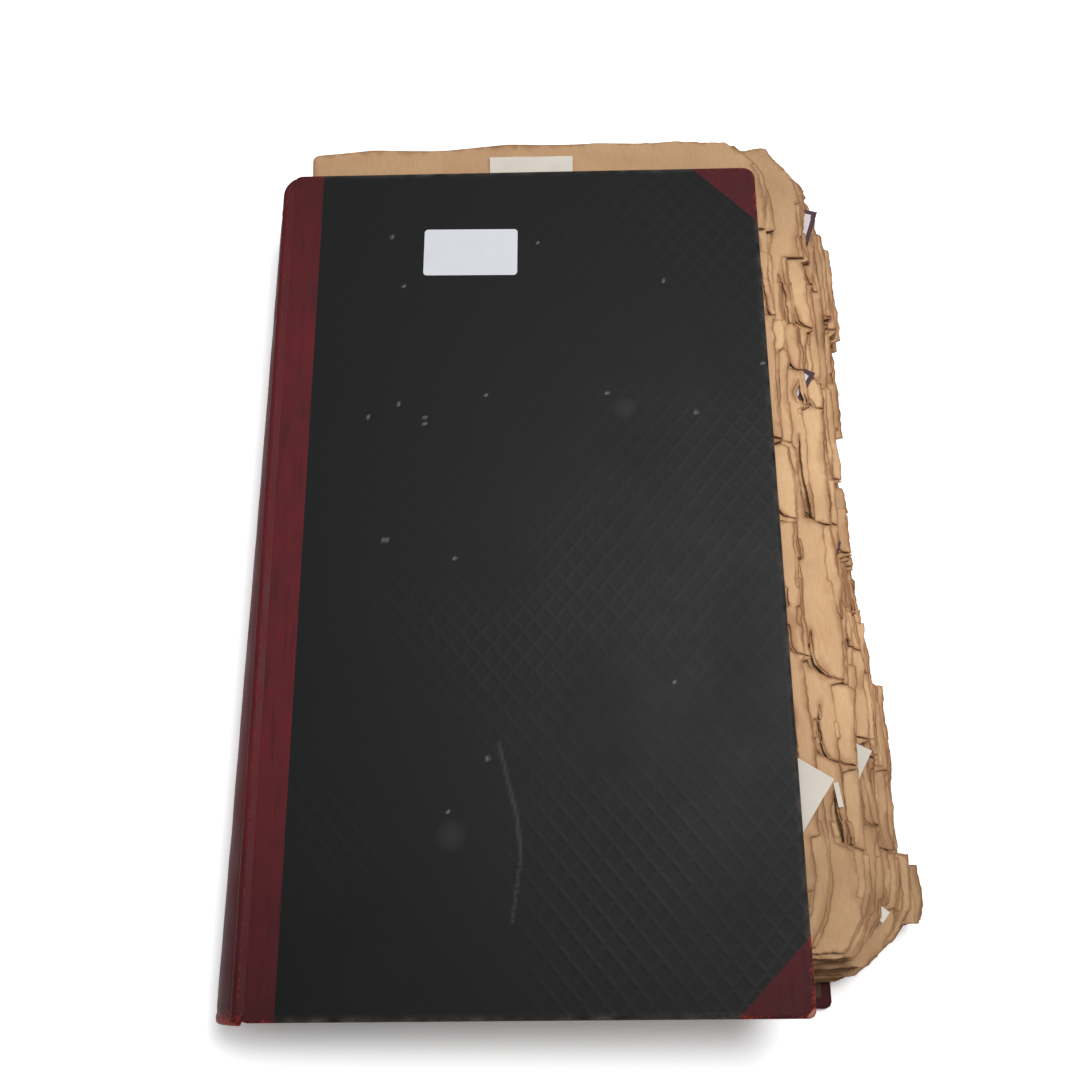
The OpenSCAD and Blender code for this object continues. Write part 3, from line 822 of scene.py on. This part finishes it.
def worn_edge(x, y):
    """1 on the rim of a cover, falling to 0 a few millimetres in."""
    inset = min(cover_w - x, y, cover_h - y)
    return max(0, 1 - inset / rubbed_width)


# Book cloth: a filled cotton, dyed near black and pressed with rows of scales between hot rolls.
# The filler gives it a dull shine. A highlight is painted on the scales' ridges, where they would
# catch the light. The material alone draws the scales.
diamond_w, diamond_h = 7.75, 9.5
dust_size, weave_size, crispness = 33.3, 0.714, 0.2
cloth, cloth_finish, at = new_material("embossed_book_cloth")
rub = add(cloth, "Attribute", attribute_name="rub").outputs["Fac"]
mark = add(cloth, "Attribute", attribute_name="mark").outputs["Fac"]
column = add(cloth, "Attribute", attribute_name="across").outputs["Fac"]
column = add(cloth, "Math", {0: column, 1: 1 / diamond_w}, operation="MULTIPLY")
row = add(cloth, "Attribute", attribute_name="up").outputs["Fac"]
row = add(cloth, "Math", {0: row, 1: 1 / diamond_h}, operation="MULTIPLY")
rising = add(cloth, "Math", {0: column.outputs[0], 1: row.outputs[0]}, operation="SUBTRACT")
rising = add(cloth, "Math", {0: rising.outputs[0], 1: 0.5}, operation="PINGPONG")
falling = add(cloth, "Math", {0: column.outputs[0], 1: row.outputs[0]}, operation="ADD")
falling = add(cloth, "Math", {0: falling.outputs[0], 1: 0.5}, operation="PINGPONG")
net = add(cloth, "Math", {0: rising.outputs[0], 1: falling.outputs[0], 2: 0.12},
          operation="SMOOTH_MAX")
net = add(cloth, "MapRange", {0: net.outputs[0], 1: 0.26, 2: 0.5, 3: 0, 4: 1},
          interpolation_type="SMOOTHSTEP")
dust = add(cloth, "TexNoise", {"Vector": at, "Scale": scale_of(dust_size), "Detail": 6,
                               "Roughness": 0.65})
weave = add(cloth, "TexNoise", {"Vector": at, "Scale": scale_of(weave_size), "Detail": 2})
body = add(cloth, "Mix", {0: dust.outputs[0], 6: linear("#0b0c0c"), 7: linear("#141516")},
           data_type="RGBA")
crisp = add(cloth, "Attribute", attribute_name="crisp").outputs["Fac"]
# Painted highlight: the ridges of the net are painted paler, as the light they would catch
painted_ridge_highlight = add(cloth, "Math", {0: net.outputs[0], 1: crisp}, operation="MULTIPLY")
painted_ridge_highlight = add(cloth, "Math", {0: painted_ridge_highlight.outputs[0], 1: 0.4}, operation="MULTIPLY")
body = add(cloth, "Mix", {0: painted_ridge_highlight.outputs[0], 6: body.outputs[2], 7: linear("#363738")},
           data_type="RGBA")
chafe = add(cloth, "Math", {0: weave.outputs[0], 1: rub}, operation="MULTIPLY")
body = add(cloth, "Mix", {0: chafe.outputs[0], 6: body.outputs[2], 7: linear("#6b625a")},
           data_type="RGBA")
body = add(cloth, "Mix", {0: mark, 6: body.outputs[2], 7: linear("#a9a6a0")}, data_type="RGBA")
shine = add(cloth, "MapRange", {0: dust.outputs[0], 1: 0.3, 2: 0.7, 3: 0.46, 4: 0.54})
relief = add(cloth, "Math", {0: weave.outputs[0], 1: 0.12, 2: net.outputs[0]},
             operation="MULTIPLY_ADD")
bump = add(cloth, "Bump", {"Strength": crisp, "Distance": 0.3 * MM, "Height": relief.outputs[0]})
join(cloth, cloth_finish, {"Base Color": body.outputs[2], "Roughness": shine.outputs[0],
                           "Normal": bump.outputs[0], "Specular IOR Level": 0.13})

# Pale specks of paint, smudges and a long scratch on the front cloth: x, y, radius and strength
speck_r, speck_strength, smudge_strength = 0.8, 0.45, 0.03
scratch_strength, scratch_steps = 0.07, 16
specks = [(43.9, 299.7), (103.8, 295.6), (49.4, 276.9), (154.4, 277.1), (82.8, 228.1),
          (48.8, 224.9), (36.8, 219.6), (59.1, 218.8), (59.1, 216.2), (130.2, 228.1),
          (164.5, 219.4), (44.6, 169.1), (45.6, 169.1), (71.5, 161.6), (151.4, 113.5),
          (84.2, 87), (70.2, 68.7), (191.6, 239.9)]
marks = [(x, y, speck_r, speck_strength) for x, y in specks]
marks += [(137, 221.6, 5, smudge_strength), (71.4, 60.5, 6, smudge_strength)]
scratch = [(88.1, 92.3), (91, 80.6), (94.5, 66.7), (95.8, 53.2), (92.7, 31.7)]
for (ax, ay), (bx, by) in zip(scratch, scratch[1:]):
    marks += [(ax + (bx - ax) * t, ay + (by - ay) * t, speck_r, scratch_strength)
              for t in np.linspace(0, 1, scratch_steps)]

# Where the skin is cut, and which way each cut faces. The front's points lie close enough
# together to carry the specks.
strip_side = Vector((-cover_h, strip_head - strip_tail, 0)).normalized()
tail_side = Vector((1, -1, 0)).normalized()
head_side = Vector((1, 1, 0)).normalized()
strip_at = Vector((strip_tail, 0, 0))
tail_at = Vector((cover_w - corner_leg, 0, 0))
head_at = Vector((cover_w - corner_leg, cover_h, 0))
for side, place, body_name, spacing in (("front", front_place, "front_cover", 0.9),
                                        ("back", back_place, "back_cover_and_block", 1.4)):
    points, faces = board_skin(spacing)
    for what, cuts in (("leather_strip", [(strip_at, -strip_side)]),
                       ("tail_corner", [(tail_at, -tail_side)]),
                       ("head_corner", [(head_at, -head_side)]),
                       ("side_cloth", [(strip_at, strip_side), (tail_at, tail_side),
                                       (head_at, head_side)])):
        skin_mesh = bpy.data.meshes.new("skin")
        skin_mesh.from_pydata(points, [], faces)
        shape = bmesh.new()
        shape.from_mesh(skin_mesh)
        for cut_at, cut_normal in cuts:
            cut(shape, cut_at, cut_normal)
        rub, mark, across, up, crisp = [], [], [], [], []
        for vert in shape.verts:
            x, y, z = vert.co
            flat_top = z > outer_z - 1e-4
            uneven = noise.noise(Vector((x / 6, y / 6, 5)))
            wear = max(0, worn_edge(x, y) * (0.55 + uneven)) if z > inner_z + 0.5 else 0
            # The tail corner has been dropped on, and is worn through to the board
            rub.append(2 if math.hypot(x - cover_w, y) < worn_r + uneven and z > -1 else wear)
            if what == "side_cloth":
                across.append(x)
                up.append(y)
                mark.append(max((strength * max(0, 1 - ((x - mx) ** 2 + (y - my) ** 2) / r ** 2)
                                 for mx, my, r, strength in marks), default=0)
                            if flat_top and side == "front" else 0)
                # The scales and the highlight painted on them are drawn weaker towards the spine
                # and the head
                scale_strength = min(1, max(0.12, 0.5 + 0.9 * noise.noise(Vector((x, y, 9)) / 55)
                                         + (x - 120) / 150 - max(0, y - 150) / 500))
                crisp.append(crispness * scale_strength)
                if flat_top:
                    vert.co.z += cloth_proud
            elif flat_top:
                vert.co.z += 0.03 * noise.noise(Vector((x / 3, y / 9, 1)))
        made_points = [v.co.copy() for v in shape.verts]
        made_faces = [[v.index for v in f.verts] for f in shape.faces]
        shape.free()
        bpy.data.meshes.remove(skin_mesh)
        is_cloth = what == "side_cloth"
        made = new_piece(f"{side}_{what}_skin", made_points, made_faces,
                         cloth if is_cloth else leather, place)
        store(made, "rub", rub)
        if is_cloth:
            for name, values in (("across", across), ("up", up), ("crisp", crisp), ("mark", mark)):
                store(made, name, values)
        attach(made, body_name)
        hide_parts(f"{side}_{what}")


# Loose papers
# Cut-out slips, a folded sheet and white cards with a purple border were laid between the leaves
# and never pasted. Their corners stick out at the fore edge and the head.
white_cloud_size, purple_cloud_size = 16.7, 4
white, white_finish, at = new_material("uncoated_white_paper")
cloud = add(white, "TexNoise", {"Vector": at, "Scale": scale_of(white_cloud_size), "Detail": 4})
body = add(white, "Mix", {0: cloud.outputs[0], 6: linear("#c0b7aa"), 7: linear("#dad3c8")},
           data_type="RGBA")
join(white, white_finish, {"Base Color": body.outputs[2], "Roughness": 0.8})

purple, purple_finish, at = new_material("purple_bordered_card")
rim = add(purple, "Attribute", attribute_name="rim").outputs["Fac"]
cloud = add(purple, "TexNoise", {"Vector": at, "Scale": scale_of(purple_cloud_size),
                                "Detail": 4})
body = add(purple, "Mix", {0: cloud.outputs[0], 6: linear("#2f1421"), 7: linear("#4a2637")},
           data_type="RGBA")
inside = add(purple, "MapRange", {0: rim, 1: 1.7, 2: 1.9, 3: 0, 4: 1})
body = add(purple, "Mix", {0: inside.outputs[0], 6: body.outputs[2], 7: linear("#cfc3c4")},
           data_type="RGBA")
join(purple, purple_finish, {"Base Color": body.outputs[2], "Roughness": 0.7})

paper_slope = 0.12
for node, (slot, body_name) in loose_papers.items():
    points, faces, rims = [], [], []
    for layer in [found for found in layers if found["node"] == node]:
        new_points, new_faces, new_rims, _ = leaf_mesh(
            layer, paper_t, lambda x, y, rim, free: min(most_lift, paper_slope * free))
        faces += [[i + len(points) for i in f] for f in new_faces]
        points += new_points
        rims += new_rims
    slip = new_piece(f"{node}_paper", points, faces, purple if slot == "purple_card" else white)
    store(slip, "rim", rims)
    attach(slip, body_name)
    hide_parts(node)


# Sticker
# A small coated label with rounded corners, stuck on the cloth near the head. Its face is bare,
# and smoother and whiter than the papers inside.
label_cloud_size = 11.1
label, label_finish, at = new_material("coated_label_paper")
cloud = add(label, "TexNoise", {"Vector": at, "Scale": scale_of(label_cloud_size), "Detail": 2})
body = add(label, "Mix", {0: cloud.outputs[0], 6: linear("#c4c5cb"), 7: linear("#cdced3")},
           data_type="RGBA")
join(label, label_finish, {"Base Color": body.outputs[2], "Roughness": 0.45})
dress("lot_label", label)
